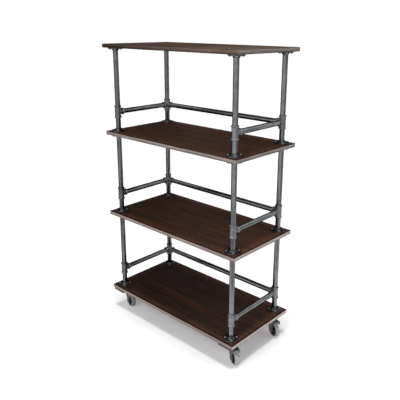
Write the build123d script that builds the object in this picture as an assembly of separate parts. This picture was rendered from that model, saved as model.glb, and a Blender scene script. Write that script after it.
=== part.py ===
from build123d import *

import os

# Rolling four-tier shelf of iron pipe and wooden boards, in millimetres.
# Origin on the floor under the middle, +X along the length, +Y to the back, +Z up.

# Boards
BOARD_LENGTH = 914.0
BOARD_DEPTH = 460.0
BOARD_THICKNESS = 20.0
BOARD_EASE = 1.2
PLANK_COUNT = 5
SEAM_WIDTH = 1.4
SEAM_DEPTH = 0.7
SHELF_PITCH = 461.0
POST_INSET = 48.6

# Pipe and its sockets
PIPE_RADIUS = 13.35
PIPE_WALL = 2.9
PIPE_END_CHAMFER = 0.8
SOCKET_GAP = 0.05
SOCKET_DEPTH = 14.0

# Tees, with a rolled bead round each mouth
TEE_REACH = 33.0
TEE_RADIUS = 16.2
TEE_OUTLET_RADIUS = 15.4
TEE_OUTLET_BORE = 9.9
TEE_BLEND = 2.0
BEAD_RADIUS = 18.8
BEAD_LENGTH = 7.0
BEAD_EASE = 1.6
RAIL_HEIGHT = 105.0

# Floor flanges
FLANGE_RADIUS = 38.0
FLANGE_RIM = 6.0
FLANGE_EASE = 1.5
FLANGE_HEIGHT = 15.0
FLANGE_SEAT = 4.0
HUB_FOOT_RADIUS = 20.0
HUB_RADIUS = 16.8
HUB_RISE = 9.5
BOLT_CIRCLE = 28.5
BOLT_COUNT = 4
BOLT_START_ANGLE = 45.0
FLANGE_HOLE = 3.4

# Fasteners
BOLT_RADIUS = 3.0
BOLT_HOLE = 3.2
BOLT_HEX = 5.8
BOLT_HEAD = 4.0
NUT_HEIGHT = 5.0
BOLT_TAIL = 2.0
NUT_GAP = 0.05
SCREW_RADIUS = 2.5
SCREW_BITE = 13.0
SCREW_TIP = 3.0
PILOT_GAP = 0.05
PILOT_SPARE = 1.0

# Casters, screwed up into the bottom board through wooden pads
CASTER_HEIGHT = 104.0
PAD_THICKNESS = 10.0
PAD_LENGTH = 72.0
PAD_DEPTH = 114.0
KINGPIN_X = 402.0
KINGPIN_Y = 164.0
TRAIL = 33.0

# Rest swivel of each caster, in degrees from +X
CASTER_TURNS = {"front_left": -12.0, "front_right": -26.0, "back_left": -16.0, "back_right": -18.0}

# Caster wheel
WHEEL_RADIUS = 37.5
TREAD_HALF_WIDTH = 7.0
TYRE_HALF_WIDTH = 12.0
TYRE_SHOULDER = 4.0
TYRE_SHOULDER_EASE = 1.5
TYRE_SEAT_RADIUS = 29.0
RIM_HALF_WIDTH = 10.5
RIM_INSIDE_RADIUS = 25.0
RIM_TAPER = 1.5
WEB_RIM_HALF = 4.5
WEB_BOSS_HALF = 6.0
HUB_BOSS_RADIUS = 12.0
RUNNING_GAP = 0.06
SIDE_GAP = 0.4

# Caster top plate and swivel
PLATE_LENGTH = 66.0
PLATE_DEPTH = 100.0
PLATE_THICKNESS = 3.0
PLATE_CORNER = 8.0
SLOT_X = 20.0
SLOT_Y = 42.0
SLOT_LENGTH = 12.0
SLOT_WIDTH = 6.8
RACE_BOSS_DEPTH = 5.0
RACE_BOSS_RADIUS = 24.0
RACE_BOSS_NOSE = 20.0
RACE_RING_RADIUS = 18.0
RACE_RING_BORE = 7.0
RACE_RING_DEPTH = 3.3
SWIVEL_GAP = 0.3
KINGPIN_RADIUS = 5.0
KINGPIN_CAP_RADIUS = 8.0
KINGPIN_CAP_DEPTH = 2.0
KINGPIN_NUT_RADIUS = 9.0
KINGPIN_NUT_DEPTH = 5.7

# Fork of pressed sheet
SHEET = 3.0
CROWN_SHEET = 4.0
CROWN_RADIUS = 27.0
CROWN_FRONT = 25.0
CROWN_BACK = 47.0
CROWN_SKIRT = 11.0
FORK_INSIDE = 16.0
FORK_BEND = 5.0
LEG_FRONT = -4.0
LEG_BACK = 36.0
LEG_BLEND = 5.0
AXLE_RADIUS = 5.0
AXLE_BOSS = 11.0
AXLE_HEX = 8.5
AXLE_HEAD = 5.0
AXLE_TAIL = 2.0

# Brake pedal on its pivot above the trailing side of the tyre
PEDAL_PIVOT_X = 51.0
PEDAL_PIVOT_Z = 80.0
PEDAL_BOSS = 8.0
PEDAL_BARREL = 5.5
PEDAL_PIN = 3.0
PEDAL_PIN_GAP = 0.05
PEDAL_HALF_WIDTH = 10.5
PEDAL_REACH = 14.0
PEDAL_RISE = 20.0
PEDAL_TREAD = 5.0
PEDAL_LIP = 4.5
PEDAL_SHEET = 3.5
SHOE_DROP = 8.1
SHOE_HEEL = -1.0
SHOE_TOE = 3.0

PIPE_BORE = PIPE_RADIUS - PIPE_WALL
SOCKET_RADIUS = PIPE_RADIUS + SOCKET_GAP
SOCKET_SEAT = TEE_REACH - SOCKET_DEPTH
POST_X = BOARD_LENGTH / 2 - POST_INSET
POST_Y = BOARD_DEPTH / 2 - POST_INSET
PILOT_DEPTH = SCREW_BITE + PILOT_SPARE
BOSS_UNDERSIDE = CASTER_HEIGHT - PLATE_THICKNESS - RACE_BOSS_DEPTH
CROWN_TOP = BOSS_UNDERSIDE - RACE_RING_DEPTH - SWIVEL_GAP
CROWN_UNDERSIDE = CROWN_TOP - CROWN_SHEET
FORK_OUTSIDE = FORK_INSIDE + SHEET

FROM_BASE = (Align.CENTER, Align.CENTER, Align.MIN)
CORNERS = {
    "front_left": Pos(-KINGPIN_X, -KINGPIN_Y, 0),
    "front_right": Pos(KINGPIN_X, -KINGPIN_Y, 0),
    "back_left": Pos(-KINGPIN_X, KINGPIN_Y, 0),
    "back_right": Pos(KINGPIN_X, KINGPIN_Y, 0),
}
SHELVES = ("bottom", "lower", "upper", "top")
BAYS = ("lower", "middle", "upper")
POSTS = [(x, y) for x in (-POST_X, POST_X) for y in (-POST_Y, POST_Y)]


def shelf_top(level):
    """Height of a board's upper face, counted from the bottom board."""
    return CASTER_HEIGHT + PAD_THICKNESS + BOARD_THICKNESS + level * SHELF_PITCH


def turned(*points):
    """Solid of revolution about Z from an outline of (radius, height) points."""
    return revolve(Plane.XZ * Polygon(*points, align=None), Axis.Z)


def group(pieces):
    """One node that holds several separate solids."""
    return Compound([solid for piece in pieces for solid in piece.solids()])


# Pipework


def pipe(length):
    """Length of pipe standing on the origin, with its outer ends eased."""
    ease = PIPE_RADIUS - PIPE_END_CHAMFER
    return turned(
        (PIPE_BORE, 0),
        (ease, 0),
        (PIPE_RADIUS, PIPE_END_CHAMFER),
        (PIPE_RADIUS, length - PIPE_END_CHAMFER),
        (ease, length),
        (PIPE_BORE, length),
    )


def tee_arm(radius):
    """Solid arm of a tee from its centre up to the beaded mouth."""
    bead_start = TEE_REACH - BEAD_LENGTH
    return turned(
        (0, 0),
        (radius, 0),
        (radius, bead_start - BEAD_EASE),
        (BEAD_RADIUS, bead_start + BEAD_EASE),
        (BEAD_RADIUS, TEE_REACH - BEAD_EASE),
        (BEAD_RADIUS - BEAD_EASE, TEE_REACH),
        (0, TEE_REACH),
    )


def tee_passage(bore):
    """Space inside an arm: the waterway and the socket with its seat."""
    return turned(
        (0, 0),
        (bore, 0),
        (bore, SOCKET_SEAT),
        (SOCKET_RADIUS, SOCKET_SEAT),
        (SOCKET_RADIUS, TEE_REACH),
        (0, TEE_REACH),
    )


def tee(*outlets):
    """Tee with its run along Z and a side outlet at each given turn about Z."""
    sides = [Rot(0, 0, turn) * Rot(0, 90, 0) for turn in outlets]
    downwards = Rot(180, 0, 0)
    body = tee_arm(TEE_RADIUS) + downwards * tee_arm(TEE_RADIUS)
    for side in sides:
        body += side * tee_arm(TEE_OUTLET_RADIUS)
    plain = (GeomType.CIRCLE, GeomType.LINE)
    seams = [edge for edge in body.edges() if edge.geom_type not in plain]
    body = fillet(seams, TEE_BLEND)
    body -= tee_passage(PIPE_BORE)
    body -= downwards * tee_passage(PIPE_BORE)
    for side in sides:
        body -= side * tee_passage(TEE_OUTLET_BORE)
    return body


def flange():
    """Floor flange standing on the origin with its socket open at the top."""
    body = turned(
        (PIPE_BORE, 0),
        (FLANGE_RADIUS, 0),
        (FLANGE_RADIUS, FLANGE_RIM - FLANGE_EASE),
        (FLANGE_RADIUS - FLANGE_EASE, FLANGE_RIM),
        (HUB_FOOT_RADIUS, FLANGE_RIM),
        (HUB_RADIUS, HUB_RISE),
        (HUB_RADIUS, FLANGE_HEIGHT - FLANGE_EASE),
        (HUB_RADIUS - FLANGE_EASE, FLANGE_HEIGHT),
        (SOCKET_RADIUS, FLANGE_HEIGHT),
        (SOCKET_RADIUS, FLANGE_SEAT),
        (PIPE_BORE, FLANGE_SEAT),
    )
    hole = Cylinder(FLANGE_HOLE, FLANGE_RIM, align=FROM_BASE)
    return body - [place * hole for place in bolt_places()]


def bolt_places():
    """Places of one flange's fasteners about its axis."""
    return PolarLocations(BOLT_CIRCLE, BOLT_COUNT, BOLT_START_ANGLE)


def post_fasteners(piece, height):
    """The piece repeated at every fastener of all four posts, at one height."""
    return [Pos(x, y, height) * place * piece for x, y in POSTS for place in bolt_places()]


def build_bay(bay, level):
    """Pipes, tees, flanges and guard rails between one board and the next."""
    floor = shelf_top(level)
    ceiling = shelf_top(level + 1) - BOARD_THICKNESS
    rail = floor + RAIL_HEIGHT
    nipple = pipe(RAIL_HEIGHT - SOCKET_SEAT - FLANGE_SEAT)
    riser = pipe(ceiling - FLANGE_SEAT - rail - SOCKET_SEAT)
    side_rail = Rot(-90, 0, 0) * pipe(2 * (POST_Y - SOCKET_SEAT))
    back_rail = Rot(0, 90, 0) * pipe(2 * (POST_X - SOCKET_SEAT))
    rail_front = -POST_Y + SOCKET_SEAT
    rail_left = -POST_X + SOCKET_SEAT
    turned_over = Rot(180, 0, 0) * flange()
    front_tee = tee(90)
    left_corner = tee(0, -90)
    right_corner = Rot(0, 0, -90) * left_corner
    nodes = {
        "nipples": group(Pos(x, y, floor + FLANGE_SEAT) * nipple for x, y in POSTS),
        "risers": group(Pos(x, y, rail + SOCKET_SEAT) * riser for x, y in POSTS),
        "foot_flanges": group(Pos(x, y, floor) * flange() for x, y in POSTS),
        "head_flanges": group(Pos(x, y, ceiling) * turned_over for x, y in POSTS),
        "front_tees": group(Pos(x, -POST_Y, rail) * front_tee for x in (-POST_X, POST_X)),
        "corner_tees": group(
            [Pos(-POST_X, POST_Y, rail) * left_corner, Pos(POST_X, POST_Y, rail) * right_corner]
        ),
        "left_rail": Pos(-POST_X, rail_front, rail) * side_rail,
        "right_rail": Pos(POST_X, rail_front, rail) * side_rail,
        "back_rail": Pos(rail_left, POST_Y, rail) * back_rail,
    }
    return {f"{bay}_bay_{name}": shape for name, shape in nodes.items()}


# Boards and fasteners


def plate_slots():
    """Places of the four screw slots about a caster's kingpin."""
    return GridLocations(2 * SLOT_X, 2 * SLOT_Y, 2, 2)


def caster_fasteners(piece, height):
    """The piece repeated at every screw of the four caster plates."""
    raised = [corner * Pos(0, 0, height) for corner in CORNERS.values()]
    return [place * slot * piece for place in raised for slot in plate_slots()]


def board():
    """Board of planks glued edge to edge, eased all round, with a fine V along each seam."""
    blank = Box(BOARD_LENGTH, BOARD_DEPTH, BOARD_THICKNESS, align=FROM_BASE)
    blank = chamfer(blank.edges(), BOARD_EASE)
    half = SEAM_WIDTH / 2
    section = Plane.YZ * Polygon((-half, 0), (half, 0), (0, -SEAM_DEPTH), align=None)
    groove = extrude(section, BOARD_LENGTH / 2, both=True)
    upper = Pos(0, 0, BOARD_THICKNESS) * groove
    lower = Rot(180, 0, 0) * groove
    seams = GridLocations(0, BOARD_DEPTH / PLANK_COUNT, 1, PLANK_COUNT - 1)
    return blank - [place * face for place in seams for face in (upper, lower)]


def pilot_hole(depth):
    """Hole for a wood screw, standing on the origin."""
    return Cylinder(SCREW_RADIUS + PILOT_GAP, depth, align=FROM_BASE)


def build_shelves():
    """Four boards, bored for the fasteners that each one takes."""
    through = Cylinder(BOLT_HOLE, BOARD_THICKNESS, align=FROM_BASE)
    pilot = pilot_hole(PILOT_DEPTH)
    from_above = BOARD_THICKNESS - PILOT_DEPTH
    bores = {
        "bottom": post_fasteners(pilot, from_above) + caster_fasteners(pilot, 0),
        "lower": post_fasteners(through, 0),
        "upper": post_fasteners(through, 0),
        "top": post_fasteners(pilot, 0),
    }
    nodes = {}
    for level, name in enumerate(SHELVES):
        underside = shelf_top(level) - BOARD_THICKNESS
        nodes[f"{name}_shelf"] = Pos(0, 0, underside) * (board() - bores[name])
    return nodes


def hexagon(height):
    """Hexagonal bolt head or nut blank standing on the origin."""
    return extrude(RegularPolygon(BOLT_HEX, 6), height)


def through_bolt():
    """Bolt that clamps two flanges on a board, with its head seated at the origin."""
    grip = 2 * FLANGE_RIM + BOARD_THICKNESS
    shank = grip + NUT_HEIGHT + BOLT_TAIL
    bolt = hexagon(BOLT_HEAD) + Pos(0, 0, -shank) * Cylinder(BOLT_RADIUS, shank, align=FROM_BASE)
    nut = hexagon(NUT_HEIGHT) - Cylinder(BOLT_RADIUS + NUT_GAP, NUT_HEIGHT, align=FROM_BASE)
    return group([bolt, Pos(0, 0, -grip - NUT_HEIGHT) * nut])


def wood_screw(grip):
    """Hexagon-headed screw, head seated at the origin, that bites past its grip."""
    shank = grip + SCREW_BITE
    stem = turned(
        (0, -shank),
        (SCREW_RADIUS, SCREW_TIP - shank),
        (SCREW_RADIUS, 0),
        (0, 0),
    )
    return hexagon(BOLT_HEAD) + stem


def build_fasteners():
    """Flange bolts, and the screws of the end flanges and the casters."""
    bolts = []
    for level in (1, 2):
        bolts += post_fasteners(through_bolt(), shelf_top(level) + FLANGE_RIM)
    from_below = Rot(180, 0, 0)
    flange_screw = wood_screw(FLANGE_RIM)
    plate_screw = wood_screw(PLATE_THICKNESS + PAD_THICKNESS)
    top_underside = shelf_top(3) - BOARD_THICKNESS
    screws = post_fasteners(flange_screw, shelf_top(0) + FLANGE_RIM)
    screws += post_fasteners(from_below * flange_screw, top_underside - FLANGE_RIM)
    screws += caster_fasteners(from_below * plate_screw, CASTER_HEIGHT - PLATE_THICKNESS)
    return {"flange_through_bolts": group(bolts), "wood_screws": group(screws)}


# Casters, each about its kingpin axis with the wheel trailing towards +X


def across(*points):
    """Solid of revolution about the axle from an outline of (radius, side) points."""
    return Pos(TRAIL, 0, WHEEL_RADIUS) * Rot(-90, 0, 0) * turned(*points)


def caster_pad():
    """Wooden pad between a caster plate and the board, bored for its screws."""
    pad = Box(PAD_LENGTH, PAD_DEPTH, PAD_THICKNESS, align=FROM_BASE)
    pad = chamfer(pad.edges(), BOARD_EASE)
    pad -= [place * pilot_hole(PAD_THICKNESS) for place in plate_slots()]
    return Pos(0, 0, CASTER_HEIGHT) * pad


def caster_plate():
    """Slotted top plate with the upper swivel race pressed out of it."""
    plate = extrude(RectangleRounded(PLATE_LENGTH, PLATE_DEPTH, PLATE_CORNER), PLATE_THICKNESS)
    plate = Pos(0, 0, CASTER_HEIGHT - PLATE_THICKNESS) * plate
    plate += turned(
        (0, BOSS_UNDERSIDE),
        (RACE_BOSS_NOSE, BOSS_UNDERSIDE),
        (RACE_BOSS_RADIUS, CASTER_HEIGHT - PLATE_THICKNESS),
        (0, CASTER_HEIGHT - PLATE_THICKNESS),
    )
    slot = extrude(SlotOverall(SLOT_LENGTH, SLOT_WIDTH), CASTER_HEIGHT)
    cap_seat = CASTER_HEIGHT - KINGPIN_CAP_DEPTH
    bore = turned(
        (0, 0),
        (KINGPIN_RADIUS + SOCKET_GAP, 0),
        (KINGPIN_RADIUS + SOCKET_GAP, cap_seat),
        (KINGPIN_CAP_RADIUS + SOCKET_GAP, cap_seat),
        (KINGPIN_CAP_RADIUS + SOCKET_GAP, CASTER_HEIGHT),
        (0, CASTER_HEIGHT),
    )
    return plate - bore - [place * slot for place in plate_slots()]


def race_ring():
    """Ring of the swivel bearing, seated under the plate's race."""
    low = BOSS_UNDERSIDE - RACE_RING_DEPTH
    return turned(
        (RACE_RING_BORE, low),
        (RACE_RING_RADIUS, low),
        (RACE_RING_RADIUS, BOSS_UNDERSIDE),
        (RACE_RING_BORE, BOSS_UNDERSIDE),
    )


def kingpin():
    """Riveted kingpin: cap in the plate, shank through the crown, nut below it."""
    nut_top = CROWN_UNDERSIDE - SWIVEL_GAP
    nut_low = nut_top - KINGPIN_NUT_DEPTH
    cap_low = CASTER_HEIGHT - KINGPIN_CAP_DEPTH
    return turned(
        (0, nut_low),
        (KINGPIN_NUT_RADIUS, nut_low),
        (KINGPIN_NUT_RADIUS, nut_top),
        (KINGPIN_RADIUS, nut_top),
        (KINGPIN_RADIUS, cap_low),
        (KINGPIN_CAP_RADIUS, cap_low),
        (KINGPIN_CAP_RADIUS, CASTER_HEIGHT),
        (0, CASTER_HEIGHT),
    )


def fork_side():
    """Side view of the yoke: skirted crown with the pedal ear, and the leg to the axle."""
    skirt_low = CROWN_TOP - CROWN_SKIRT
    crown = make_hull(
        [
            Pos(PEDAL_PIVOT_X, PEDAL_PIVOT_Z) * CenterArc((0, 0), PEDAL_BOSS, 0, 360),
            Line((-CROWN_FRONT, skirt_low), (-CROWN_FRONT, CROWN_TOP)),
            Line((-CROWN_FRONT, CROWN_TOP), (CROWN_BACK, CROWN_TOP)),
        ]
    )
    leg = make_hull(
        [
            Pos(TRAIL, WHEEL_RADIUS) * CenterArc((0, 0), AXLE_BOSS, 0, 360),
            Line((LEG_FRONT, skirt_low), (LEG_BACK, skirt_low)),
        ]
    )
    side = crown + leg
    notches = [
        corner
        for corner in side.vertices()
        if LEG_FRONT <= corner.X <= LEG_BACK and WHEEL_RADIUS + AXLE_BOSS < corner.Y < CROWN_TOP
    ]
    return fillet(notches, LEG_BLEND)


def fork():
    """Pressed yoke: rounded crown, two tapered legs, axle and pedal pivot holes."""
    yoke = extrude(Plane.XZ * fork_side(), FORK_OUTSIDE, both=True)
    bends = yoke.edges().filter_by(Axis.X).sort_by(Axis.Z)[-2:]
    yoke = fillet(bends, FORK_BEND)
    ear_end = PEDAL_PIVOT_X + 2 * PEDAL_BOSS
    inside = Box(4 * CROWN_BACK, 2 * FORK_INSIDE, CROWN_UNDERSIDE, align=FROM_BASE)
    plan = make_hull(
        [
            CenterArc((0, 0), CROWN_RADIUS, 0, 360),
            Line((TRAIL + AXLE_BOSS, -FORK_OUTSIDE), (TRAIL + AXLE_BOSS, FORK_OUTSIDE)),
            Line((ear_end, -FORK_OUTSIDE), (ear_end, FORK_OUTSIDE)),
        ]
    )
    yoke = (yoke - inside) & extrude(plan, CASTER_HEIGHT)
    yoke -= Cylinder(KINGPIN_RADIUS + RUNNING_GAP, CASTER_HEIGHT, align=FROM_BASE)
    crosswise = Rot(90, 0, 0)
    axle_hole = crosswise * Cylinder(AXLE_RADIUS + SOCKET_GAP, 3 * FORK_OUTSIDE)
    pivot_hole = crosswise * Cylinder(PEDAL_PIN + PEDAL_PIN_GAP, 3 * FORK_OUTSIDE)
    yoke -= Pos(TRAIL, 0, WHEEL_RADIUS) * axle_hole
    return yoke - Pos(PEDAL_PIVOT_X, 0, PEDAL_PIVOT_Z) * pivot_hole


def axle():
    """Axle bolt through both legs, with its nut."""
    lengthwise = Pos(TRAIL, 0, WHEEL_RADIUS) * Rot(-90, 0, 0)
    head = Pos(0, 0, -FORK_OUTSIDE - AXLE_HEAD) * extrude(RegularPolygon(AXLE_HEX, 6), AXLE_HEAD)
    span = 2 * FORK_OUTSIDE + AXLE_HEAD + AXLE_TAIL
    shank = Pos(0, 0, -FORK_OUTSIDE) * Cylinder(AXLE_RADIUS, span, align=FROM_BASE)
    nut = extrude(RegularPolygon(AXLE_HEX, 6), AXLE_HEAD)
    nut -= Cylinder(AXLE_RADIUS + NUT_GAP, AXLE_HEAD, align=FROM_BASE)
    return group([lengthwise * (head + shank), lengthwise * Pos(0, 0, FORK_OUTSIDE) * nut])


def hub():
    """Moulded wheel centre: bushed boss, dished web and rim."""
    boss_side = FORK_INSIDE - SIDE_GAP
    bore = AXLE_RADIUS + RUNNING_GAP
    near = [
        (bore, boss_side),
        (HUB_BOSS_RADIUS, boss_side),
        (HUB_BOSS_RADIUS, WEB_BOSS_HALF),
        (RIM_INSIDE_RADIUS - RIM_TAPER, WEB_RIM_HALF),
        (RIM_INSIDE_RADIUS, RIM_HALF_WIDTH),
        (TYRE_SEAT_RADIUS, RIM_HALF_WIDTH),
    ]
    far = [(radius, -side) for radius, side in reversed(near)]
    return across(*near, *far)


def tyre():
    """Solid tyre with rounded shoulders and a flat tread."""
    near = [
        (TYRE_SEAT_RADIUS, RIM_HALF_WIDTH),
        (WHEEL_RADIUS - TYRE_SHOULDER, TYRE_HALF_WIDTH),
        (WHEEL_RADIUS - TYRE_SHOULDER_EASE, TYRE_HALF_WIDTH - TYRE_SHOULDER_EASE),
        (WHEEL_RADIUS, TREAD_HALF_WIDTH),
    ]
    far = [(radius, -side) for radius, side in reversed(near)]
    return across(*near, *far)


def brake_pedal():
    """Foot pedal with its pivot pin, barrel, lever and the shoe over the tyre."""
    crosswise = Pos(PEDAL_PIVOT_X, 0, PEDAL_PIVOT_Z) * Rot(90, 0, 0)
    pedal = crosswise * Cylinder(PEDAL_BARREL, 2 * (FORK_INSIDE - SIDE_GAP))
    pedal += crosswise * Cylinder(PEDAL_PIN, 2 * FORK_OUTSIDE)
    lever = Polygon(
        (0, PEDAL_BARREL),
        (PEDAL_BARREL / 2, PEDAL_BARREL),
        (PEDAL_REACH - PEDAL_TREAD, PEDAL_RISE + 1),
        (PEDAL_REACH, PEDAL_RISE),
        (PEDAL_REACH, PEDAL_RISE - PEDAL_LIP),
        (PEDAL_REACH - PEDAL_TREAD, PEDAL_RISE + 1 - PEDAL_SHEET),
        (PEDAL_BARREL, 0),
        (0, 0),
        align=None,
    )
    shoe = Polygon(
        (SHOE_HEEL - 1, 0),
        (SHOE_TOE + 1, 0),
        (SHOE_TOE, -SHOE_DROP),
        (SHOE_HEEL, -SHOE_DROP),
        align=None,
    )
    pivot = Pos(PEDAL_PIVOT_X, 0, PEDAL_PIVOT_Z)
    pedal += pivot * extrude(Plane.XZ * lever, PEDAL_HALF_WIDTH, both=True)
    return pedal + pivot * extrude(Plane.XZ * shoe, PEDAL_HALF_WIDTH, both=True)


def build_casters():
    """Four casters: plates square to the board, forks turned to their rest swivel."""
    moving = {"fork": fork(), "axle": axle(), "hub": hub(), "tyre": tyre(), "brake_pedal": brake_pedal()}
    nodes = {
        "caster_pads": group(corner * caster_pad() for corner in CORNERS.values()),
        "swivel_kingpins": group(corner * kingpin() for corner in CORNERS.values()),
        "swivel_race_rings": group(corner * race_ring() for corner in CORNERS.values()),
    }
    for name, corner in CORNERS.items():
        swivel = Rot(0, 0, CASTER_TURNS[name])
        nodes[f"{name}_caster_plate"] = corner * caster_plate()
        for piece, shape in moving.items():
            nodes[f"{name}_caster_{piece}"] = corner * swivel * shape
    return nodes


def build_cart():
    """Every node of the cart by name."""
    nodes = build_shelves()
    for level, bay in enumerate(BAYS):
        nodes.update(build_bay(bay, level))
    nodes.update(build_fasteners())
    nodes.update(build_casters())
    return nodes


os.makedirs("parts", exist_ok=True)
for node_name, node_shape in build_cart().items():
    export_step(node_shape, f"parts/{node_name}.step")
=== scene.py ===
import math
import random

import bmesh
import bpy
from mathutils import Matrix, Quaternion, Vector, noise


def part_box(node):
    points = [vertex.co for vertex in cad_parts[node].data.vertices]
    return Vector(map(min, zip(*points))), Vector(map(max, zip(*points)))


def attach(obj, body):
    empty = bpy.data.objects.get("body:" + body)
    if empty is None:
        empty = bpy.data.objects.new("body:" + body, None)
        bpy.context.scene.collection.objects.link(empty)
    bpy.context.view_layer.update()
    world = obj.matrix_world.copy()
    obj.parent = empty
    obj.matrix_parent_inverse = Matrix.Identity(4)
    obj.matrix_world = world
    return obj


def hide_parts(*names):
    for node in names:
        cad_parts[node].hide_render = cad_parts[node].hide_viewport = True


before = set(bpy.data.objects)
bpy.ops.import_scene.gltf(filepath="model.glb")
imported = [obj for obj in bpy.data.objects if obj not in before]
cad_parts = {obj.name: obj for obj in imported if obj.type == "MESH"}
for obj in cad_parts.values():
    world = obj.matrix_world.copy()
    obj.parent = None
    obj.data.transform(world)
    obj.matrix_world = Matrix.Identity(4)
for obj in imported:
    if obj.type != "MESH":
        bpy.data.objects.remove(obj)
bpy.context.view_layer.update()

# Looks of a rolling four-tier shelf of iron pipe and stained boards.
# Metres, in the model's own frame: +X along the length, +Y to the back, +Z up.

FRAME_BODY = "cart_frame"
SHELVES = ("bottom", "lower", "upper", "top")
BAYS = ("lower", "middle", "upper")
CORNERS = ("front_left", "front_right", "back_left", "back_right")
QUARTER_TURN = math.radians(90)
WHITE = (1.0, 1.0, 1.0)

# Camera: angles in degrees, lens and sensor in millimetres, shift in image widths
CAMERA_PLACE = (1.8066, -1.8893, 1.6161)
CAMERA_AZIMUTH = 42.10
CAMERA_ELEVATION = 15.66
CAMERA_ROLL = 0.384
CAMERA_LENS = 46.3
CAMERA_SENSOR = 36.0
CAMERA_SHIFT = (-0.0252, -0.0783)

# Studio light. A level of 1 shows a white card as white.
AIM = (0.0, 0.0, 0.75)
AMBIENT_LEVEL = 0.30
OVERHEAD_LEVEL = 0.60
OVERHEAD_SPREAD = 14.0
OVERHEAD_TILT = 1.5
SOFTBOXES = {
    "key": {
        "level": 0.35,
        "azimuth": 8.0,
        "elevation": 28.0,
        "distance": 3.2,
        "size": (1.8, 1.8),
        "is_mirrored": True,
    },
    "side": {
        "level": 0.12,
        "azimuth": 112.0,
        "elevation": 10.0,
        "distance": 2.7,
        "size": (0.5, 2.0),
        "is_mirrored": False,
    },
}
FLOOR_SIZE = 60.0
FLOOR_CELLS = 8
FLOOR_COLOUR = 0.90
FLOOR_GLOW = 0.23

# Dark flags out of sight that show only in polished metal:
# azimuths from and to, grey level, and a profile of radius and height
FLAG_STEPS = 12
FLAG_FOOT = 0.002
FLAG_TOP = 2.2
BACK_RADIUS = 1.05
BACK_WALL = ((BACK_RADIUS, FLAG_FOOT), (BACK_RADIUS, FLAG_TOP))
FLAGS = {
    "right_flag": (82.0, 132.0, 0.42, ((1.6, 0.3), (1.6, 1.5))),
    "front_flag": (-25.0, 95.0, 0.60, ((1.15, FLAG_FOOT), (2.6, FLAG_FOOT))),
    "back_flag": (182.0, 214.0, 0.08, BACK_WALL),
    "middle_flag": (214.0, 230.0, 0.40, BACK_WALL),
    "far_flag": (230.0, 262.0, 0.08, BACK_WALL),
    "left_flag": (272.0, 318.0, 0.20, ((1.0, FLAG_FOOT), (2.4, FLAG_FOOT), (2.4, FLAG_TOP))),
}

# Sockets of Blender's mix node that carry colours
MIX_ONE = 6
MIX_TWO = 7
MIX_RESULT = 2

# Tint of the pipes' grey, and its levels where the pipes are dark and light;
# the left rails' levels are lowered as painted shade and the right rails' raised as painted light
PIPE_TINT = (0.985, 1.0, 1.02)
PIPE_LEVELS = (0.138, 0.238)
LEFT_RAIL_SHADED_LEVELS = (0.110, 0.190)
RIGHT_RAIL_LIT_LEVELS = (0.165, 0.290)

# Dark and light tones of the other finishes
TEE_TONES = ((0.150, 0.154, 0.168), (0.270, 0.277, 0.296))
CORNER_TEE_TONES = ((0.155, 0.159, 0.172), (0.280, 0.287, 0.305))
FLANGE_TONES = ((0.050, 0.051, 0.054), (0.120, 0.122, 0.126))
BRIGHT_ZINC_TONES = ((0.26, 0.265, 0.28), (0.44, 0.44, 0.44))
DULL_ZINC_TONES = ((0.13, 0.13, 0.135), (0.26, 0.26, 0.26))
STEEL_TONES = ((0.155, 0.157, 0.160), (0.340, 0.343, 0.347))
RUBBER_TONES = ((0.35, 0.355, 0.36), (0.54, 0.545, 0.545))
PLASTIC_TONES = ((0.012, 0.012, 0.013), (0.045, 0.046, 0.047))
LEVER_TONES = ((0.20, 0.202, 0.206), (0.33, 0.332, 0.336))
CAP_TONES = ((0.010, 0.010, 0.011), (0.026, 0.026, 0.027))
# The pads' tones are darkened by painted shade.
PAD_TONES_WITH_PAINTED_SHADE = ((0.072, 0.054, 0.042), (0.155, 0.120, 0.096))

# Bare metal where pipes, fittings and casters are rubbed
RUBBED_PIPE = (0.42, 0.42, 0.42)
RUBBED_IRON = (0.36, 0.36, 0.37)
RUBBED_STEEL = (0.52, 0.52, 0.52)

# Zinc plate is dulled by its passivated skin
ZINC_METALLIC = 0.4

# Stretch of the drawn lines of pipes that run along X, Y or Z
LINES_X = (0.06, 1.0, 1.0)
LINES_Y = (1.0, 0.06, 1.0)
LINES_Z = (1.0, 1.0, 0.06)

# Painted shade that darkens the left posts, left front tees and left casters: the share of their colour
# kept, and half the width over which it fades out in the middle of the cart
LEFT_POST_PAINTED_SHADE = 0.70
LEFT_TEE_PAINTED_SHADE = 0.64
LEFT_CASTER_PAINTED_SHADE = 0.68
MIDDLE_HALF = 0.1

# Height of the foot of the brake pedals' black caps, and of the blend above it
CAP_FOOT = 0.093
CAP_BLEND = 0.0005

# Stain of the boards: its fibres, its red figure, the red near the outline and the dark where it pooled,
# with the distances from the outline where those two start and are full
STAIN_DARK = (0.024, 0.0122, 0.0090)
STAIN_MIDDLE = (0.056, 0.0285, 0.0190)
STAIN_PALE = (0.105, 0.0530, 0.0330)
FIGURE_RED = (0.128, 0.042, 0.022)
OUTLINE_RED = (0.175, 0.058, 0.031)
OUTLINE_RED_START = 0.050
OUTLINE_RED_FULL = 0.012
POOLED_DARK = (0.012, 0.006, 0.005)
POOL_START = 0.014
POOL_FULL = 0.005

# Levels of the darkest and the lightest plank, and how far the grain moves from one to the other
PLANK_LEVELS = (0.86, 1.16)
GRAIN_SHIFT = (3.1, 7.7, 1.3)

# Stretches of the fibres, the figure and the pores along the planks, and of the streaks along the edges
FIBRE_STRETCH = (1.1, 34.0, 34.0)
FIGURE_STRETCH = (0.9, 8.0, 8.0)
PORE_STRETCH = (14.0, 420.0, 420.0)
STREAK_STRETCH = (3.0, 5.0, 160.0)

# Shades of the streaks in the boards' edges, and the stain on their upper arrises
STREAK_TONES = ((0.62, 0.60, 0.59), (1.12, 1.12, 1.12))
ARRIS_STAIN = (0.05, 0.031, 0.025)
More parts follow.
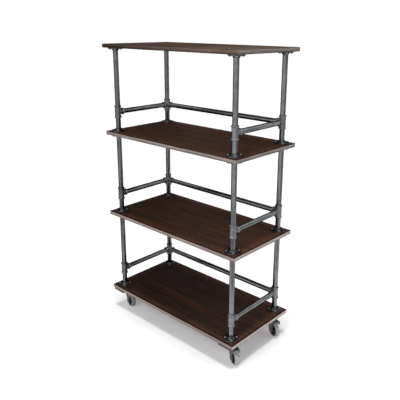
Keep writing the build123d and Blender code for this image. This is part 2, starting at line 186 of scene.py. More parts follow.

# Look of each board: its gloss; the depth of its stain, and the painted shade and light that darken it at
# the left and lighten it to the right, given at the left, in the middle and at the right, the greyed right
# end of the top board being a painted sheen; the lower, upper and topmost bands of its edges; how these fade
# towards the left, and the painted light that lightens them on the right end
BOARD_GLOSS = 0.04
BOARD_LOOKS = {
    "bottom": {
        "gloss": BOARD_GLOSS,
        "depth": (0.92, 1.06, 1.25),
        "painted_shade_and_light": ((0.70, 0.70, 0.74), (0.86, 0.84, 0.90), (1.40, 1.40, 1.45)),
        "bands": ((0.30, 0.250, 0.235), (0.37, 0.300, 0.275), ARRIS_STAIN),
        "left_fade": (1.15, 1.15, 1.15),
        "end_painted_light": (1.80, 2.02, 2.06),
    },
    "lower": {
        "gloss": BOARD_GLOSS,
        "depth": (1.30, 1.40, 1.48),
        "painted_shade_and_light": ((0.57, 0.55, 0.56), (0.88, 0.84, 0.82), (1.37, 1.32, 1.30)),
        "bands": ((0.268, 0.224, 0.208), (0.42, 0.338, 0.308), ARRIS_STAIN),
        "left_fade": WHITE,
        "end_painted_light": (1.34, 1.44, 1.47),
    },
    "upper": {
        "gloss": BOARD_GLOSS,
        "depth": (1.80, 1.80, 1.75),
        "painted_shade_and_light": ((0.69, 0.68, 0.62), (0.80, 0.74, 0.62), (0.90, 0.86, 0.80)),
        "bands": ((0.24, 0.200, 0.190), (0.38, 0.315, 0.295), ARRIS_STAIN),
        "left_fade": (0.90, 0.92, 0.93),
        "end_painted_light": (0.94, 1.02, 1.01),
    },
    "top": {
        "gloss": 0.0,
        "depth": (1.10, 1.15, 1.15),
        "painted_shade_and_light": ((1.10, 1.60, 2.10), (1.03, 1.35, 1.50), (1.60, 2.70, 3.50)),
        "bands": ((0.105, 0.077, 0.064), (0.190, 0.140, 0.113), (0.250, 0.180, 0.140)),
        "left_fade": (0.30, 0.26, 0.25),
        "end_painted_light": (1.56, 1.84, 1.98),
    },
}

# Planks of the boards, their arrises, and the cells in a metre of the arrises' wear
PLANKS = 5
PLANK_STATIONS = 60
PLANK_SEED = 4
ARRIS_EASE = 0.0017
ARRIS_WEAR = 0.0009
WEAR_CELLS = (21.0, 9.0, 100.0)
SEAM_EASE = 0.0007
ROUND_STEPS = 3

# Pads over the casters
PAD_INNER_X = 0.366
PAD_INNER_Y = 0.107
PAD_END_INSET = 0.010
PAD_FACE_INSET = 0.0005
PAD_THICKNESS = 0.010
PAD_STATIONS = 8

# Bolts through the flanges of the middle boards, screws of the other flanges and of the casters
FLANGE_RADIUS = 0.038
FLANGE_RIM = 0.006
BOLT_CIRCLE = 0.0285
BOLT_ANGLES = (45.0, 135.0, 225.0, 315.0)
BOLT_RADIUS = 0.003
BOLT_TAIL = 0.002
BOLT_FLAT = 0.005
BOLT_HEAD = 0.004
NUT_HEIGHT = 0.005
NUT_BORE = 0.0031
SCREW_RADIUS = 0.0025
SCREW_BITE = 0.013
SCREW_TIP = 0.003
SCREW_POINT = 0.0005
WASHER_FACE = 0.0004
CHAMFER_CIRCLE = 0.0047
CHAMFER_SLOPE = math.tan(math.radians(30))
THREAD_PITCH = 0.0005
THREAD_DEPTH = 0.0003
RING_POINTS = 24
FASTENER_SEED = 9
PLATE_THICKNESS = 0.003
SLOT_X = 0.020
SLOT_Y = 0.042

# Angles in degrees above which edges stay sharp
SHARP_ANGLE = 40.0
FASTENER_SHARP_ANGLE = 25.0


def direction(azimuth, elevation):
    """Unit vector towards that azimuth and elevation in degrees; azimuth 0 is the front, -Y."""
    turn = math.radians(azimuth)
    rise = math.radians(elevation)
    return Vector((math.sin(turn) * math.cos(rise), -math.cos(turn) * math.cos(rise), math.sin(rise)))


def scaled(colour, level):
    """The colour times a level."""
    return tuple(level * part for part in colour)


def link(obj):
    """Puts an object into the scene."""
    bpy.context.scene.collection.objects.link(obj)
    return obj


def mesh_object(name, mesh, material):
    """The finished mesh as an object in the scene."""
    data = bpy.data.meshes.new(name)
    mesh.to_mesh(data)
    mesh.free()
    data.materials.append(material)
    return link(bpy.data.objects.new(name, data))


# Materials


class Paint:
    """A procedural material under construction, in the piece's own coordinates."""

    def __init__(self, name, constants):
        self.material = bpy.data.materials.new(name)
        self.material.use_nodes = True
        self.tree = self.material.node_tree
        self.shader = self.tree.nodes["Principled BSDF"]
        for socket, value in constants.items():
            self.shader.inputs[socket].default_value = value
        self.place = self.add("ShaderNodeTexCoord").outputs["Object"]

    def add(self, kind, inputs=None, **settings):
        """A node of that kind; inputs are its sockets' values or the sockets that feed them."""
        made = self.tree.nodes.new(kind)
        for name, value in settings.items():
            setattr(made, name, value)
        for socket, value in (inputs or {}).items():
            if isinstance(value, bpy.types.NodeSocket):
                self.tree.links.new(value, made.inputs[socket])
            else:
                made.inputs[socket].default_value = value
        return made

    def feed(self, socket, source):
        """Lets a node's output drive a socket of the shader."""
        self.tree.links.new(source, self.shader.inputs[socket])

    def roughness(self, pattern, low, swing):
        """Roughness that rises from low by the swing as the pattern goes from 0 to 1."""
        self.feed("Roughness", self.math("MULTIPLY_ADD", pattern, swing, low))

    def bump(self, height, depth, strength):
        """Relief of that depth in metres from a height between 0 and 1."""
        inputs = {"Height": height, "Distance": depth, "Strength": strength}
        self.feed("Normal", self.add("ShaderNodeBump", inputs).outputs["Normal"])

    def math(self, operation, one, two=0.0, three=0.0):
        """Arithmetic on numbers or sockets."""
        inputs = {0: one, 1: two, 2: three}
        return self.add("ShaderNodeMath", inputs, operation=operation).outputs[0]

    def span(self, value, low, high, most=1.0):
        """0 to the most as the value goes from low to high, held at both ends."""
        inputs = {"Value": value, "From Min": low, "From Max": high, "To Max": most}
        return self.add("ShaderNodeMapRange", inputs).outputs["Result"]

    def axes(self, vector):
        """Outputs X, Y and Z of a vector."""
        return self.add("ShaderNodeSeparateXYZ", {0: vector}).outputs

    def stretch(self, scale, place=None):
        """Coordinates scaled along each axis."""
        inputs = {0: place or self.place, 1: scale}
        return self.add("ShaderNodeVectorMath", inputs, operation="MULTIPLY").outputs[0]

    def noise(self, cells, detail, rough, bend=0.0, place=None):
        """Cloudy pattern of that many cells in a metre."""
        inputs = {
            "Vector": place or self.place,
            "Scale": cells,
            "Detail": detail,
            "Roughness": rough,
            "Distortion": bend,
        }
        return self.add("ShaderNodeTexNoise", inputs).outputs["Fac"]

    def ramp(self, factor, *stops):
        """Colour from stops of (position, colour)."""
        made = self.add("ShaderNodeValToRGB", {"Fac": factor})
        elements = made.color_ramp.elements
        while len(elements) < len(stops):
            elements.new(1.0)
        for element, (position, colour) in zip(elements, stops):
            element.position = position
            element.color = (*colour, 1.0)
        return made.outputs["Color"]

    def between(self, tones, factor, low=0.0, high=1.0):
        """The first of two tones up to the low factor, going over to the second at the high one."""
        return self.ramp(factor, (low, tones[0]), (high, tones[1]))

    def mix(self, factor, one, two, blend="MIX"):
        """Colour one at a factor of 0, and at 1 colour two or what the blend makes of both."""
        sides = [(*side, 1.0) if isinstance(side, tuple) else side for side in (one, two)]
        inputs = {0: factor, MIX_ONE: sides[0], MIX_TWO: sides[1]}
        made = self.add("ShaderNodeMix", inputs, data_type="RGBA", blend_type=blend)
        return made.outputs[MIX_RESULT]

    def times(self, one, two):
        """One colour times the other."""
        return self.mix(1.0, one, two, "MULTIPLY")

    def painted_shade_left(self, colour, shade):
        """The colour times a painted shade on the left half of the cart."""
        side = self.span(self.axes(self.place)["X"], -MIDDLE_HALF, MIDDLE_HALF)
        return self.times(colour, self.between((scaled(WHITE, shade), WHITE), side))


def grain_place(paint, tone):
    """Coordinates moved by a plank's tone, so that each plank has its own grain."""
    shift = paint.add("ShaderNodeVectorMath", {0: GRAIN_SHIFT, "Scale": tone}, operation="SCALE")
    moved = paint.add("ShaderNodeVectorMath", {0: paint.place, 1: shift.outputs[0]}, operation="ADD")
    return moved.outputs[0]


def face_stain(paint, half, tone, fibre, figure, depth, painted_shade_and_light):
    """Stain of the planks' faces: a red figure, redder along the fibres near the outline and pooled along
    it.
    """
    stain = paint.ramp(fibre, (0.30, STAIN_DARK), (0.52, STAIN_MIDDLE), (0.72, STAIN_PALE))
    stain = paint.times(stain, paint.between([scaled(depth, level) for level in PLANK_LEVELS], tone))
    stain = paint.mix(paint.span(figure, low=0.52, high=0.74, most=0.75), stain, FIGURE_RED)
    place = paint.axes(paint.place)
    reach_x = paint.math("SUBTRACT", half.x, paint.math("ABSOLUTE", place["X"]))
    reach_y = paint.math("SUBTRACT", half.y, paint.math("ABSOLUTE", place["Y"]))
    reach = paint.math("MINIMUM", reach_x, reach_y)
    # Red near the outline, following the fibres.
    near_outline = paint.span(reach, OUTLINE_RED_START, OUTLINE_RED_FULL, most=0.65)
    marked = paint.math("MULTIPLY", near_outline, paint.span(fibre, low=0.42, high=0.66))
    stain = paint.mix(marked, stain, OUTLINE_RED)
    stain = paint.mix(paint.span(reach, POOL_START, POOL_FULL, most=0.85), stain, POOLED_DARK)
    # Painted shade darkens the board at the left and painted light lightens it to the right; the top board's
    # greyed right end is a painted sheen.
    left, middle, right = painted_shade_and_light
    lengthways = paint.span(place["X"], -half.x, half.x)
    return paint.times(stain, paint.ramp(lengthways, (0.0, left), (0.5, middle), (1.0, right)))


def layered_edge(paint, half, tone, facing, bands, left_fade, end_painted_light):
    """Edges of a board: streaked bands that fade towards the left, with painted light on the right end."""
    place = paint.axes(paint.place)
    run = paint.math("ADD", place["X"], place["Y"])
    rolled_out = paint.add("ShaderNodeCombineXYZ", {0: run, 1: tone, 2: place["Z"]}).outputs[0]
    streak_place = paint.stretch(STREAK_STRETCH, rolled_out)
    streak = paint.noise(cells=2.0, detail=5.0, rough=0.6, bend=0.3, place=streak_place)
    level = paint.span(place["Z"], -half.z, half.z, most=0.70)
    layer = paint.math("MULTIPLY_ADD", streak, 0.30, level)
    lower, upper, arris = bands
    edge = paint.ramp(layer, (0.36, lower), (0.50, upper), (0.72, upper), (0.80, arris))
    edge = paint.times(edge, paint.between(STREAK_TONES, streak, low=0.34, high=0.64))
    lengthways = paint.span(place["X"], -half.x, half.x)
    edge = paint.times(edge, paint.between((left_fade, WHITE), lengthways))
    # Painted light on the faces of the right end.
    right_end = paint.span(facing["X"], low=0.5, high=0.9)
    return paint.mix(right_end, edge, paint.times(edge, end_painted_light))


def stained_wood(name, half, gloss, depth, painted_shade_and_light, bands, left_fade, end_painted_light):
    """Dark stained planks, redder towards the outline, on paler layered edges, with painted shade and light
    along them.
    """
    paint = Paint(name, {"Specular IOR Level": gloss})
    tone = paint.add("ShaderNodeAttribute", attribute_name="tone").outputs["Fac"]
    facing = paint.axes(paint.add("ShaderNodeNewGeometry").outputs["Normal"])
    grain = grain_place(paint, tone)
    fibre_place = paint.stretch(FIBRE_STRETCH, grain)
    fibre = paint.noise(cells=5.0, detail=8.0, rough=0.62, bend=0.4, place=fibre_place)
    figure_place = paint.stretch(FIGURE_STRETCH, grain)
    figure = paint.noise(cells=1.6, detail=3.0, rough=0.5, bend=0.6, place=figure_place)
    pore_place = paint.stretch(PORE_STRETCH, grain)
    pores = paint.noise(cells=3.0, detail=2.0, rough=0.5, place=pore_place)
    stain = face_stain(paint, half, tone, fibre, figure, depth, painted_shade_and_light)
    edge = layered_edge(paint, half, tone, facing, bands, left_fade, end_painted_light)
    on_edge = paint.span(paint.math("ABSOLUTE", facing["Z"]), low=0.55, high=0.25)
    paint.feed("Base Color", paint.mix(on_edge, stain, edge))
    paint.roughness(fibre, low=0.42, swing=0.25)
    relief = paint.math("ADD", fibre, paint.span(pores, low=0.36, high=0.44))
    paint.bump(relief, depth=0.00025, strength=0.6)
    return paint.material


def iron_pipe(name, lines_stretch, levels=PIPE_LEVELS, left_painted_shade=1.0):
    """Drawn dark pipe: grey mill finish with lines along its length and a few bright rubs."""
    paint = Paint(name, {"Metallic": 1.0, "Specular Tint": (0.06, 0.06, 0.065, 1.0)})
    clouds = paint.noise(cells=22.0, detail=5.0, rough=0.6)
    lines = paint.noise(cells=60.0, detail=4.0, rough=0.6, place=paint.stretch(lines_stretch))
    tones = [scaled(PIPE_TINT, level) for level in levels]
    mill_finish = paint.between(tones, clouds, low=0.30, high=0.70)
    marked = paint.mix(paint.span(lines, low=0.66, high=0.80, most=0.5), mill_finish, RUBBED_PIPE)
    paint.feed("Base Color", paint.painted_shade_left(marked, left_painted_shade))
    paint.roughness(lines, low=0.09, swing=0.16)
    paint.bump(lines, depth=0.00006, strength=0.4)
    return paint.material


def cast_iron(name, tones, left_painted_shade=1.0):
    """Cast fittings: sand-grained dark iron, a little worn."""
    paint = Paint(name, {"Metallic": 1.0, "Specular Tint": (0.08, 0.08, 0.085, 1.0)})
    grain = paint.noise(cells=700.0, detail=3.0, rough=0.6)
    clouds = paint.noise(cells=30.0, detail=5.0, rough=0.6)
    skin = paint.between(tones, clouds, low=0.28, high=0.72)
    worn = paint.mix(paint.span(grain, low=0.62, high=0.78, most=0.45), skin, RUBBED_IRON)
    paint.feed("Base Color", paint.painted_shade_left(worn, left_painted_shade))
    paint.roughness(clouds, low=0.26, swing=0.20)
    paint.bump(grain, depth=0.00022, strength=0.4)
    return paint.material


def zinc(name, tones, rough):
    """Zinc plate on bolts, screws and axles, faintly blotched."""
    paint = Paint(name, {"Metallic": ZINC_METALLIC})
    blotch = paint.noise(cells=260.0, detail=4.0, rough=0.6)
    paint.feed("Base Color", paint.between(tones, blotch, low=0.3, high=0.7))
    paint.roughness(blotch, low=rough, swing=0.22)
    paint.bump(blotch, depth=0.00005, strength=0.4)
    return paint.material


def caster_steel():
    """Pressed steel of the casters: dark plating with brushed streaks and specks."""
    paint = Paint("caster_steel", {"Metallic": 1.0, "Specular Tint": (0.3, 0.3, 0.3, 1.0)})
    streaks = paint.noise(cells=90.0, detail=4.0, rough=0.6, place=paint.stretch((1.0, 1.0, 6.0)))
    specks = paint.noise(cells=900.0, detail=2.0, rough=0.5)
    plating = paint.between(STEEL_TONES, streaks, low=0.30, high=0.72)
    worn = paint.mix(paint.span(specks, low=0.64, high=0.76, most=0.6), plating, RUBBED_STEEL)
    # The left casters' steel carries painted shade.
    paint.feed("Base Color", paint.painted_shade_left(worn, LEFT_CASTER_PAINTED_SHADE))
    paint.roughness(streaks, low=0.22, swing=0.25)
    paint.bump(streaks, depth=0.0001, strength=0.4)
    return paint.material


def dusty(name, rough):
    """A finely grained skin without its colour, and the pattern of dust on it."""
    paint = Paint(name, {"Specular IOR Level": 0.35})
    dust = paint.noise(cells=70.0, detail=5.0, rough=0.65)
    paint.roughness(dust, low=rough, swing=0.3)
    paint.bump(paint.noise(cells=1400.0, detail=2.0, rough=0.5), depth=0.0001, strength=0.5)
    return paint, dust


def moulded(name, tones, rough, left_painted_shade=1.0):
    """Moulded plastic or rubber, dusty in patches."""
    paint, dust = dusty(name, rough)
    skin = paint.between(tones, dust, low=0.32, high=0.70)
    paint.feed("Base Color", paint.painted_shade_left(skin, left_painted_shade))
    return paint.material


def brake_lever():
    """Dull plated brake lever with a black cap on its tread."""
    paint, dust = dusty("brake_lever", rough=0.46)
    plated = paint.between(LEVER_TONES, dust, low=0.32, high=0.70)
    black = paint.between(CAP_TONES, dust, low=0.32, high=0.70)
    on_cap = paint.span(paint.axes(paint.place)["Z"], CAP_FOOT, CAP_FOOT + CAP_BLEND)
    paint.feed("Base Color", paint.mix(on_cap, plated, black))
    return paint.material


def bare_wood():
    """Sawn packing wood of the caster pads, its tone darkened by painted shade."""
    paint = Paint("bare_wood", {"Specular IOR Level": 0.2})
    fibre_place = paint.stretch((1.5, 30.0, 60.0))
    fibre = paint.noise(cells=6.0, detail=6.0, rough=0.6, bend=0.3, place=fibre_place)
    saw_marks = paint.noise(cells=9.0, detail=2.0, rough=0.5, place=paint.stretch((60.0, 2.0, 2.0)))
    paint.feed("Base Color", paint.between(PAD_TONES_WITH_PAINTED_SHADE, fibre, low=0.30, high=0.70))
    paint.roughness(fibre, low=0.62, swing=0.2)
    paint.bump(paint.math("ADD", fibre, saw_marks), depth=0.0003, strength=0.5)
    return paint.material


def dress_nodes():
    """A material on every node that stays in view."""
    steel = caster_steel()
    dull = zinc("dull_zinc", DULL_ZINC_TONES, rough=0.34)
    flanges = cast_iron("cast_flange_iron", FLANGE_TONES)
    # Painted shade darkens the left posts, the left front tees and the left casters' tyres.
    upright = iron_pipe("iron_pipe_upright", LINES_Z, left_painted_shade=LEFT_POST_PAINTED_SHADE)
    bay_parts = {
        "nipples": upright,
        "risers": upright,
        "foot_flanges": flanges,
        "head_flanges": flanges,
        "front_tees": cast_iron("cast_tee_iron", TEE_TONES, LEFT_TEE_PAINTED_SHADE),
        "corner_tees": cast_iron("cast_corner_iron", CORNER_TEE_TONES),
        "left_rail": iron_pipe("iron_pipe_left", LINES_Y, LEFT_RAIL_SHADED_LEVELS),
        "right_rail": iron_pipe("iron_pipe_right", LINES_Y, RIGHT_RAIL_LIT_LEVELS),
        "back_rail": iron_pipe("iron_pipe_lengthways", LINES_X),
    }
    caster_parts = {
        "plate": steel,
        "fork": steel,
        "axle": dull,
        "hub": moulded("hub_plastic", PLASTIC_TONES, rough=0.30),
        "tyre": moulded("grey_rubber", RUBBER_TONES, rough=0.50, left_painted_shade=LEFT_CASTER_PAINTED_SHADE),
        "brake_pedal": brake_lever(),
    }
    finishes = {"swivel_kingpins": dull, "swivel_race_rings": steel}
    for bay in BAYS:
        for part, finish in bay_parts.items():
            finishes[f"{bay}_bay_{part}"] = finish
    for corner in CORNERS:
        for part, finish in caster_parts.items():
            finishes[f"{corner}_caster_{part}"] = finish
    for name, finish in finishes.items():
        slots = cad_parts[name].data.materials
        slots.clear()
        slots.append(finish)


# Meshes


class Shape:
    """A mesh under construction, made of skins stretched over rings of points."""

    def __init__(self):
        self.mesh = bmesh.new()
        self.tone = self.mesh.verts.layers.float.new("tone")

    def skin(self, rings, tone=0.5, is_looped=False):
        """Faces from each ring to the next; the ends are closed, or joined to each other."""
        made = [[self.mesh.verts.new(point) for point in ring] for ring in rings]
        pairs = list(zip(made, made[1:]))
        if is_looped:
            pairs.append((made[-1], made[0]))
        else:
            self.mesh.faces.new(made[0])
            self.mesh.faces.new(made[-1])
        for one, two in pairs:
            for here in range(len(one)):
                there = (here + 1) % len(one)
                self.mesh.faces.new((one[here], one[there], two[there], two[here]))
        for ring in made:
            for vertex in ring:
                vertex[self.tone] = tone

    def piece(self, name, body, slot, material, place=(0.0, 0.0, 0.0), sharp=SHARP_ANGLE):
        """The finished mesh as an object that rides on a body."""
        bmesh.ops.recalc_face_normals(self.mesh, faces=self.mesh.faces)
        obj = mesh_object(name, self.mesh, material)
        obj.data.polygons.foreach_set("use_smooth", [True] * len(obj.data.polygons))
        obj.data.set_sharp_from_angle(angle=math.radians(sharp))
        obj.location = place
        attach(obj, body)
        return obj


def put(rings, spot, turn=0.0, is_under=False):
    """Rings turned about their own axis, turned over if they point down, and moved to a spot."""
    over = Matrix.Rotation(math.pi if is_under else 0.0, 4, "X")
    place = Matrix.Translation(spot) @ Matrix.Rotation(turn, 4, "Z") @ over
    return [[place @ Vector(point) for point in ring] for ring in rings]


def plank_outline(low, high, half_height, eases, inset):
    """Cross-section of a plank from y low to y high, its four arrises rounded."""
    quadrants = ((1, 1, eases[1]), (-1, 1, eases[0]), (-1, -1, eases[0]), (1, -1, eases[1]))
    points = []
    for quarter, (side, up, ease) in enumerate(quadrants):
        radius = max(ease - inset, SEAM_EASE / 2)
        y = (high - inset if side > 0 else low + inset) - side * radius
        z = up * (half_height - inset - radius)
        for step in range(ROUND_STEPS + 1):
            angle = QUARTER_TURN * (quarter + step / ROUND_STEPS)
            points.append((y + radius * math.cos(angle), z + radius * math.sin(angle)))
    return points


def plank_rings(low, high, half, outer, steps):
    """Rings along a plank from y low to y high: rounded ends, and outer arrises worn unevenly."""
    ends = []
    for step in range(ROUND_STEPS):
        angle = QUARTER_TURN * step / ROUND_STEPS
        ends.append((ARRIS_EASE * (1 - math.cos(angle)), ARRIS_EASE * (1 - math.sin(angle))))
    inner = half.x - ARRIS_EASE
    stations = [(-half.x + x, inset) for x, inset in ends]
    stations += [(inner * (2 * k / steps - 1), 0.0) for k in range(steps + 1)]
    stations += [(half.x - x, inset) for x, inset in reversed(ends)]
    cells_x, cells_y, cells_z = WEAR_CELLS
    rings = []
    for x, inset in stations:
        eases = []
        for is_outer, y in zip(outer, (low, high)):
            wear = ARRIS_WEAR * noise.noise(Vector((x * cells_x, y * cells_y, half.z * cells_z)))
            eases.append(ARRIS_EASE + wear if is_outer else SEAM_EASE)
        rings.append([(x, y, z) for y, z in plank_outline(low, high, half.z, eases, inset)])
    return rings


def add_boards():
    """Each shelf as planks glued side by side, in place of its plain board."""
    draw = random.Random(PLANK_SEED)
    for shelf in SHELVES:
        node = f"{shelf}_shelf"
        low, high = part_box(node)
        half = (high - low) / 2
        seams = [half.y * (2 * k / PLANKS - 1) for k in range(PLANKS + 1)]
        board = Shape()
        for k in range(PLANKS):
            outer = (k == 0, k == PLANKS - 1)
            rings = plank_rings(seams[k], seams[k + 1], half, outer, PLANK_STATIONS)
            board.skin(rings, draw.random())
        wood = stained_wood(f"{shelf}_board_wood", half, **BOARD_LOOKS[shelf])
        piece = board.piece(f"{shelf}_shelf_planks", FRAME_BODY, "stained_wood", wood, (low + high) / 2)
        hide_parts(node)


def add_pads():
    """Wooden pads over the casters, brought out to the front and back edges of the bottom board."""
    low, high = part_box("caster_pads")
    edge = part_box("bottom_shelf")[1]
    inner = Vector((PAD_INNER_X, PAD_INNER_Y, low.z))
    outer = Vector((edge.x - PAD_END_INSET, edge.y - PAD_FACE_INSET, high.z))
    half = (outer - inner) / 2
    middle = (outer + inner) / 2
    rings = plank_rings(-half.y, half.y, half, (True, True), PAD_STATIONS)
    pads = Shape()
    for x in (-middle.x, middle.x):
        for y in (-middle.y, middle.y):
            pads.skin(put(rings, Vector((x, y, middle.z))))
    piece = pads.piece("caster_pad_blocks", FRAME_BODY, "stained_wood", bare_wood())
    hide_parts("caster_pads")


def round_ring(radius, height):
    """Circle of points about the Z axis."""
    turns = [2 * math.pi * k / RING_POINTS for k in range(RING_POINTS)]
    return [(radius * math.cos(turn), radius * math.sin(turn), height) for turn in turns]


def hex_ring(waist, face):
    """Hexagon of points at a face, its corners cut back towards the waist by the cone of the chamfer."""
    points = []
    for k in range(RING_POINTS):
        turn = 2 * math.pi * k / RING_POINTS
        off_flat = (turn + math.pi / 6) % (math.pi / 3) - math.pi / 6
        radius = BOLT_FLAT / math.cos(off_flat)
        cut = max(radius - CHAMFER_CIRCLE, 0.0) * CHAMFER_SLOPE
        inward = math.copysign(min(cut, abs(face - waist)), waist - face)
        points.append((radius * math.cos(turn), radius * math.sin(turn), face + inward))
    return points


def head_rings():
    """Hexagon head on its washer face, seated at the origin."""
    waist = BOLT_HEAD / 2
    return [
        round_ring(CHAMFER_CIRCLE, 0.0),
        round_ring(CHAMFER_CIRCLE, WASHER_FACE),
        hex_ring(waist, WASHER_FACE),
        hex_ring(waist, BOLT_HEAD),
        round_ring(CHAMFER_CIRCLE, BOLT_HEAD),
    ]


def bolt_rings(shank):
    """Bolt with its head seated at the origin and thread showing on its tail."""
    root = BOLT_RADIUS - THREAD_DEPTH
    rings = [round_ring(root, -shank)]
    for k in range(round(BOLT_TAIL / THREAD_PITCH)):
        foot = THREAD_PITCH * k - shank
        rings.append(round_ring(BOLT_RADIUS, foot + THREAD_PITCH / 2))
        rings.append(round_ring(root, foot + THREAD_PITCH))
    rings.append(round_ring(BOLT_RADIUS, BOLT_TAIL + THREAD_PITCH - shank))
    rings.append(round_ring(BOLT_RADIUS, 0.0))
    return rings + head_rings()


def nut_rings(top):
    """Nut that hangs from that height, chamfered on its lower face, as a loop round its bore."""
    foot = top - NUT_HEIGHT
    waist = foot + NUT_HEIGHT / 2
    return [
        round_ring(NUT_BORE, foot),
        round_ring(CHAMFER_CIRCLE, foot),
        hex_ring(waist, foot),
        hex_ring(waist, top - WASHER_FACE),
        round_ring(CHAMFER_CIRCLE, top - WASHER_FACE),
        round_ring(CHAMFER_CIRCLE, top),
        round_ring(NUT_BORE, top),
    ]


def screw_rings(grip):
    """Wood screw with its head seated at the origin and a tapered point."""
    shank = grip + SCREW_BITE
    stem = [
        round_ring(SCREW_POINT, -shank),
        round_ring(SCREW_RADIUS, SCREW_TIP - shank),
        round_ring(SCREW_RADIUS, 0.0),
    ]
    return stem + head_rings()


def flange_spots(height):
    """Places of the fasteners of the four post flanges at that height."""
    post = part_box("lower_bay_foot_flanges")[1] - Vector((FLANGE_RADIUS, FLANGE_RADIUS, 0.0))
    spots = []
    for x in (-post.x, post.x):
        for y in (-post.y, post.y):
            for angle in BOLT_ANGLES:
                out = direction(angle, 0.0) * BOLT_CIRCLE
                spots.append(Vector((x + out.x, y + out.y, height)))
    return spots


def plate_spots():
    """Places of the screw heads under the four caster plates."""
    spots = []
    for corner in CORNERS:
        low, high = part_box(f"{corner}_caster_plate")
        middle = (low + high) / 2
        for x in (-SLOT_X, SLOT_X):
            for y in (-SLOT_Y, SLOT_Y):
                spots.append(Vector((middle.x + x, middle.y + y, high.z - PLATE_THICKNESS)))
    return spots


def add_bolts(draw, finish):
    """Hexagon bolts and nuts through the two middle boards, each stopped at its own angle."""
    bolts = Shape()
    for shelf in ("lower", "upper"):
        low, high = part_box(f"{shelf}_shelf")
        grip = high.z - low.z + 2 * FLANGE_RIM
        bolt = bolt_rings(grip + NUT_HEIGHT + BOLT_TAIL)
        nut = nut_rings(-grip)
        for spot in flange_spots(high.z + FLANGE_RIM):
            bolts.skin(put(bolt, spot, draw.uniform(0.0, math.pi)))
            bolts.skin(put(nut, spot, draw.uniform(0.0, math.pi)), is_looped=True)
    name = "flange_bolts_and_nuts"
    piece = bolts.piece(name, FRAME_BODY, "bright_bolts", finish, sharp=FASTENER_SHARP_ANGLE)
    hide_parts("flange_through_bolts")


def add_screws(draw, finish):
    """Hexagon screws of the end boards' flanges and of the casters, each stopped at its own angle."""
    bottom_spots = flange_spots(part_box("bottom_shelf")[1].z + FLANGE_RIM)
    top_spots = flange_spots(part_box("top_shelf")[0].z - FLANGE_RIM)
    groups = (
        (bottom_spots, FLANGE_RIM, False),
        (top_spots, FLANGE_RIM, True),
        (plate_spots(), PLATE_THICKNESS + PAD_THICKNESS, True),
    )
    screws = Shape()
    for spots, grip, is_under in groups:
        screw = screw_rings(grip)
        for spot in spots:
            screws.skin(put(screw, spot, draw.uniform(0.0, math.pi), is_under))
    name = "flange_and_plate_screws"
    piece = screws.piece(name, FRAME_BODY, "bright_bolts", finish, sharp=FASTENER_SHARP_ANGLE)
    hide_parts("wood_screws")


def add_fasteners():
    """Hexagon bolts, nuts and screws in place of the plain ones."""
    draw = random.Random(FASTENER_SEED)
    finish = zinc("bright_zinc", BRIGHT_ZINC_TONES, rough=0.20)
    add_bolts(draw, finish)
    add_screws(draw, finish)


# Stage


def bare_material(name):
    """A material with nothing but its output."""
    material = bpy.data.materials.new(name)
    material.use_nodes = True
    nodes = material.node_tree.nodes
    nodes.remove(nodes["Principled BSDF"])
    return material


def seen_directly(tree):
    """1 where the eye, a mirror or glass looks straight, 0 for light that bounces about."""
    path = tree.nodes.new("ShaderNodeLightPath")
    either = path.outputs["Is Camera Ray"]
    for ray in ("Is Glossy Ray", "Is Transmission Ray"):
        larger = tree.nodes.new("ShaderNodeMath")
        larger.operation = "MAXIMUM"
        tree.links.new(either, larger.inputs[0])
        tree.links.new(path.outputs[ray], larger.inputs[1])
        either = larger.outputs[0]
    return either


def add_world():
    """White surroundings that light the cart only softly."""
    world = bpy.data.worlds.new("studio")
    world.use_nodes = True
    tree = world.node_tree
    background = tree.nodes["Background"]
    background.inputs["Color"].default_value = (*WHITE, 1.0)
    level = tree.nodes.new("ShaderNodeMapRange")
    level.inputs["To Min"].default_value = AMBIENT_LEVEL
    level.inputs["To Max"].default_value = 1.0
    tree.links.new(seen_directly(tree), level.inputs["Value"])
    tree.links.new(level.outputs["Result"], background.inputs["Strength"])
    bpy.context.scene.world = world


def add_floor():
    """Wide pale floor that takes the cart's shadow and reads as white in the open."""
    paper = bare_material("floor_paper")
    tree = paper.node_tree
    matt = tree.nodes.new("ShaderNodeBsdfDiffuse")
    matt.inputs["Color"].default_value = (*scaled(WHITE, FLOOR_COLOUR), 1.0)
    glow = tree.nodes.new("ShaderNodeEmission")
    level = tree.nodes.new("ShaderNodeMath")
    level.operation = "MULTIPLY"
    level.inputs[1].default_value = FLOOR_GLOW
    both = tree.nodes.new("ShaderNodeAddShader")
    tree.links.new(seen_directly(tree), level.inputs[0])
    tree.links.new(level.outputs[0], glow.inputs["Strength"])
    tree.links.new(matt.outputs[0], both.inputs[0])
    tree.links.new(glow.outputs[0], both.inputs[1])
    tree.links.new(both.outputs[0], tree.nodes["Material Output"].inputs["Surface"])
    sheet = bmesh.new()
    bmesh.ops.create_grid(sheet, x_segments=FLOOR_CELLS, y_segments=FLOOR_CELLS, size=FLOOR_SIZE / 2)
    mesh_object("floor", sheet, paper)


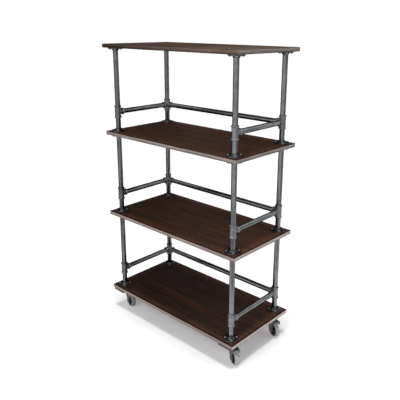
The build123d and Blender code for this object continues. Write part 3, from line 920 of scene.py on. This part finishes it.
def add_flag(name, start, end, grey, profile):
    """Dark flag round a side of the cart, seen only in the gloss of the metal."""
    cloth = bare_material(name)
    tree = cloth.node_tree
    shade = tree.nodes.new("ShaderNodeEmission")
    shade.inputs["Strength"].default_value = grey
    tree.links.new(shade.outputs[0], tree.nodes["Material Output"].inputs["Surface"])
    flag = bmesh.new()
    rows = []
    for step in range(FLAG_STEPS + 1):
        way = direction(start + (end - start) * step / FLAG_STEPS, 0.0)
        rows.append([flag.verts.new((way.x * radius, way.y * radius, height)) for radius, height in profile])
    for one, two in zip(rows, rows[1:]):
        for k in range(len(profile) - 1):
            flag.faces.new((one[k], two[k], two[k + 1], one[k + 1]))
    screen = mesh_object(name, flag, cloth)
    screen.visible_camera = False
    screen.visible_diffuse = False
    screen.visible_transmission = False
    screen.visible_shadow = False


def add_softbox(name, level, azimuth, elevation, distance, size, is_mirrored):
    """Area lamp aimed at the cart; level is what it adds to a white card there."""
    data = bpy.data.lights.new(name, "AREA")
    data.shape = "RECTANGLE"
    data.size, data.size_y = size
    data.energy = level * math.pi ** 2 * distance ** 2
    lamp = link(bpy.data.objects.new(name, data))
    back = direction(azimuth, elevation)
    lamp.location = Vector(AIM) + back * distance
    lamp.rotation_euler = back.to_track_quat("Z", "Y").to_euler()
    lamp.visible_glossy = is_mirrored


def add_overhead():
    """Light from straight above with soft shadows, leaning a little from the camera's side."""
    data = bpy.data.lights.new("overhead", "SUN")
    data.energy = OVERHEAD_LEVEL * math.pi
    data.angle = math.radians(OVERHEAD_SPREAD)
    lamp = link(bpy.data.objects.new("overhead", data))
    back = direction(CAMERA_AZIMUTH, 90.0 - OVERHEAD_TILT)
    lamp.rotation_euler = back.to_track_quat("Z", "Y").to_euler()


def add_camera():
    """Camera where the photograph was taken from."""
    data = bpy.data.cameras.new("camera")
    data.lens = CAMERA_LENS
    data.sensor_width = CAMERA_SENSOR
    data.shift_x, data.shift_y = CAMERA_SHIFT
    camera = link(bpy.data.objects.new("camera", data))
    camera.location = CAMERA_PLACE
    camera.rotation_mode = "QUATERNION"
    facing = direction(CAMERA_AZIMUTH, CAMERA_ELEVATION).to_track_quat("Z", "Y")
    camera.rotation_quaternion = facing @ Quaternion((0, 0, 1), math.radians(CAMERA_ROLL))
    bpy.context.scene.camera = camera


def add_stage():
    """Camera, surroundings, floor, flags and lamps."""
    bpy.context.scene.view_settings.view_transform = "Standard"
    add_camera()
    add_world()
    add_floor()
    for name, flag in FLAGS.items():
        add_flag(name, *flag)
    add_overhead()
    for name, lamp in SOFTBOXES.items():
        add_softbox(name, **lamp)


add_stage()
dress_nodes()
add_boards()
add_pads()
add_fasteners()
